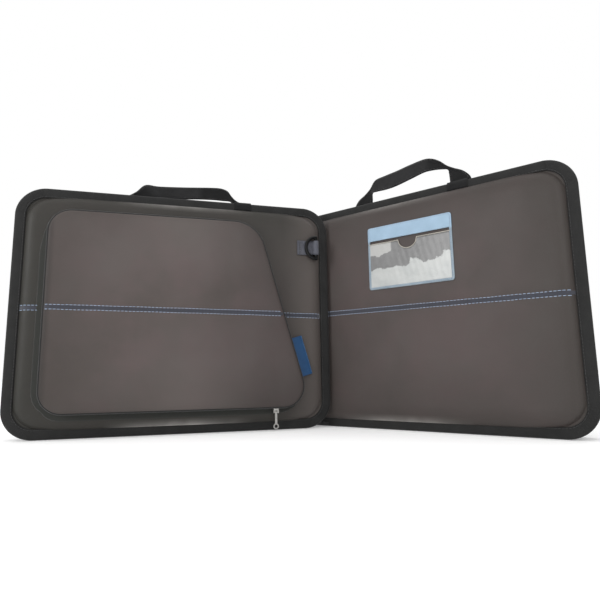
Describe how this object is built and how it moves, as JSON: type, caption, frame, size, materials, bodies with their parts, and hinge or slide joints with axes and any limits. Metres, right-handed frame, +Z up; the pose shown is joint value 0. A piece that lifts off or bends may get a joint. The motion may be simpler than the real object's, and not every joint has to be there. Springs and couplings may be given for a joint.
{
  "type": "solar suitcase kit",
  "caption": "Folding two-leaf case with a framed solar panel in each leaf, a zipped front pocket, card window, D-ring and handles, opened past flat and standing on edge.",
  "frame": {"origin": "centre of the overall box at the floor, with both leaves standing on their lower edges", "axes": "+X runs along the front leaf from its outer edge to the spine, -Y is the way the front leaf's outer face looks, +Z is up"},
  "size_m": [0.595, 0.3216, 0.327],
  "materials": {
    "moulded_shell": "brown-grey woven cloth on moulded foam",
    "binding_cloth": "black ribbed binding",
    "wall_cloth": "black woven polyester",
    "lining_cloth": "grey knitted lining",
    "zip_teeth": "black coil zip",
    "panel_frame": "clear anodised",
    "panel_glass": "tempered, clear",
    "solar_cells": "blue-black cells",
    "backsheet": "white film",
    "hook_pads": "black hook and loop",
    "junction_plastic": "black moulded",
    "webbing": "black ribbed webbing",
    "grey_webbing": "blue-grey webbing",
    "black_metal": "black enamel",
    "blue_ribbon": "woven blue ribbon",
    "blue_trim": "light blue cloth",
    "clear_film": "clear vinyl film",
    "bright_zinc": "nickel plated"
  },
  "bodies": {
    "front_leaf": {"front_shell": "moulded_shell", "front_binding": "binding_cloth", "front_lining": "lining_cloth", "front_side_wall": "wall_cloth", "front_zip_chain": "zip_teeth", "front_panel_frame": "panel_frame", "front_panel_glass": "panel_glass", "front_panel_cells": "solar_cells", "front_panel_backsheet": "backsheet", "front_panel_pads": "hook_pads", "front_junction_box": "junction_plastic", "front_cable_gland": "junction_plastic", "front_handle_feet": "webbing", "pocket_wall": "wall_cloth", "pocket_zip": "zip_teeth", "ribbon_tag": "blue_ribbon", "d_ring_tab": "grey_webbing"},
    "spine": {"spine_cloth": "wall_cloth"},
    "rear_leaf": {"rear_shell": "moulded_shell", "rear_binding": "binding_cloth", "rear_lining": "lining_cloth", "rear_side_wall": "wall_cloth", "rear_zip_chain": "zip_teeth", "rear_panel_frame": "panel_frame", "rear_panel_glass": "panel_glass", "rear_panel_cells": "solar_cells", "rear_panel_backsheet": "backsheet", "rear_panel_pads": "hook_pads", "rear_junction_box": "junction_plastic", "rear_cable_gland": "junction_plastic", "rear_handle_feet": "webbing", "card_frame": "blue_trim", "card_film": "clear_film", "card_header": "blue_trim"},
    "front_handle": {"front_handle": "webbing"},
    "rear_handle": {"rear_handle": "webbing"},
    "pocket_cover": {"pocket_cover": "moulded_shell"},
    "pocket_slider": {"pocket_slider": "bright_zinc"},
    "pocket_pull": {"pocket_pull": "bright_zinc"},
    "lower_zip_slider": {"lower_zip_slider": "black_metal"},
    "lower_zip_pull": {"lower_zip_pull": "black_metal"},
    "upper_zip_slider": {"upper_zip_slider": "black_metal"},
    "upper_zip_pull": {"upper_zip_pull": "black_metal"},
    "d_ring": {"d_ring": "black_metal"}
  },
  "joints": [
    {"name": "rear_leaf_fold", "type": "hinge", "parent": "spine", "child": "rear_leaf", "pos_m": [0.05745, 0.1593, 0], "axis": [0, 0, 1], "range_deg": [0, 259.57]},
    {"name": "front_leaf_fold", "type": "hinge", "parent": "spine", "child": "front_leaf", "pos_m": [0.08651, 0.09208, 0], "axis": [0, 0, 1], "range_deg": [0, 23.39]},
    {"name": "front_handle_swing", "type": "hinge", "parent": "front_leaf", "child": "front_handle", "pos_m": [-0.10149, 0.10033, 0.2847], "axis": [1, 0, 0], "range_deg": [-30, 30]},
    {"name": "rear_handle_swing", "type": "hinge", "parent": "rear_leaf", "child": "rear_handle", "pos_m": [0.16889, 0.00766, 0.2847], "axis": [0.5563, -0.831, 0], "range_deg": [-30, 30]},
    {"name": "pocket_cover_open", "type": "hinge", "parent": "front_leaf", "child": "pocket_cover", "pos_m": [-0.45149, 0.07343, 0.145], "axis": [0, 0, -1], "range_deg": [0, 75]},
    {"name": "pocket_slider_run", "type": "slide", "parent": "front_leaf", "child": "pocket_slider", "axis": [-1, 0, 0], "range_m": [0, 0.235]},
    {"name": "pocket_pull_swing", "type": "hinge", "parent": "pocket_slider", "child": "pocket_pull", "pos_m": [0.00951, 0.07573, 0.0225], "axis": [-1, 0, 0], "range_deg": [-5, 95]},
    {"name": "lower_zip_run", "type": "slide", "parent": "front_leaf", "child": "lower_zip_slider", "axis": [-1, 0, 0], "range_m": [0, 0.295]},
    {"name": "lower_pull_swing", "type": "hinge", "parent": "lower_zip_slider", "child": "lower_zip_pull", "pos_m": [0.04101, 0.1272, 0.00225], "axis": [0, -1, 0], "range_deg": [0, 90]},
    {"name": "upper_zip_run", "type": "slide", "parent": "front_leaf", "child": "upper_zip_slider", "axis": [-1, 0, 0], "range_m": [0, 0.295]},
    {"name": "upper_pull_swing", "type": "hinge", "parent": "upper_zip_slider", "child": "upper_zip_pull", "pos_m": [0.04101, 0.1272, 0.28775], "axis": [0, 1, 0], "range_deg": [0, 160]},
    {"name": "d_ring_swing", "type": "hinge", "parent": "front_leaf", "child": "d_ring", "pos_m": [0.06651, 0.07844, 0.2325], "axis": [0, 0, 1], "range_deg": [0, 170]}
  ],
  "couplings": [
    {"joint": "front_leaf_fold", "follows": "rear_leaf_fold", "ratio": 0.090051}
  ]
}
